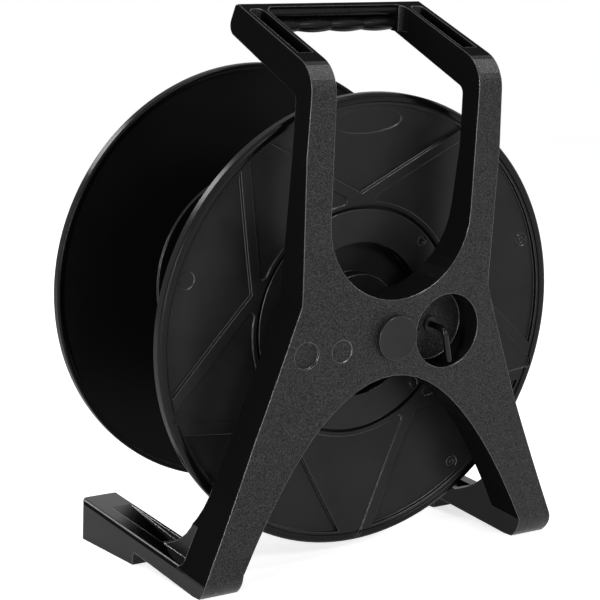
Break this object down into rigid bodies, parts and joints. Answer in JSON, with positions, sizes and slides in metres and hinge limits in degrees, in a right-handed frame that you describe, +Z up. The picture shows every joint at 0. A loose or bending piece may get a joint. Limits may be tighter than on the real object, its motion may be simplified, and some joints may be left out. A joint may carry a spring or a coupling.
{
  "type": "extension cord reel",
  "caption": "Black plastic cable reel for an extension cord: an empty drum with dished flanges on a carrying frame with two long feet, a moulded grip, a winding knob and a bent rod brake lever.",
  "frame": {"origin": "centre of the bounding box, on the floor", "axes": "+Z is up, -Y is the front with the carrying frame and the brake lever, +Y is the side of the winding knob, +X is right seen from the front"},
  "size_m": [0.31, 0.2682, 0.3741],
  "materials": {
    "frame_plastic": "black moulding with a fine grain",
    "flange_plastic": "satin black",
    "hub_plastic": "smooth satin black",
    "cap_plastic": "satin black",
    "grip": "smooth, slightly shiny",
    "rubber": "matt",
    "black_rod": "glossy black",
    "black_screw": "blackened",
    "steel": "zinc plated",
    "bush_plastic": "natural nylon"
  },
  "bodies": {
    "frame": {"frame": "frame_plastic", "grip_insert": "grip", "axle": "steel", "axle_cap": "cap_plastic", "axle_washer_front": "steel", "axle_washer_rear": "steel", "axle_nut": "steel", "brake_insert": "cap_plastic", "brake_guide": "hub_plastic", "brake_guide_screws": "steel"},
    "shoe": {"brake_shoe": "hub_plastic", "brake_pad": "rubber"},
    "lever": {"brake_lever": "black_rod", "brake_clips": "steel"},
    "drum": {"front_flange": "flange_plastic", "rear_flange": "flange_plastic", "core": "flange_plastic", "core_screws": "steel", "hub_cover_front": "hub_plastic", "hub_cover_rear": "hub_plastic", "cover_screws_front": "black_screw", "cover_screws_rear": "black_screw", "bush_front": "bush_plastic", "bush_rear": "bush_plastic", "hub_cap": "cap_plastic", "cord_grommet": "rubber", "knob_spindle": "steel"},
    "knob": {"winding_knob": "cap_plastic", "knob_cap": "cap_plastic"}
  },
  "joints": [
    {"name": "drum_spin", "type": "hinge", "parent": "frame", "child": "drum", "pos_m": [0, -0.11605, 0.15748], "axis": [0, 0.9936, 0.1132], "continuous": true},
    {"name": "knob_spin", "type": "hinge", "parent": "drum", "child": "knob", "pos_m": [0, 0.09088, 0.07538], "axis": [0, 0.9936, 0.1132], "continuous": true},
    {"name": "brake_slide", "type": "slide", "parent": "frame", "child": "shoe", "axis": [0, 0.9936, 0.1132], "range_m": [0, 0.002]},
    {"name": "brake_turn", "type": "hinge", "parent": "shoe", "child": "lever", "pos_m": [0.0414, -0.11605, 0.15748], "axis": [0, 0.9936, 0.1132], "range_deg": [0, 360]}
  ],
  "couplings": [
    {"joint": "brake_slide", "follows": "brake_turn", "m_per_rad": 0.00031831}
  ]
}
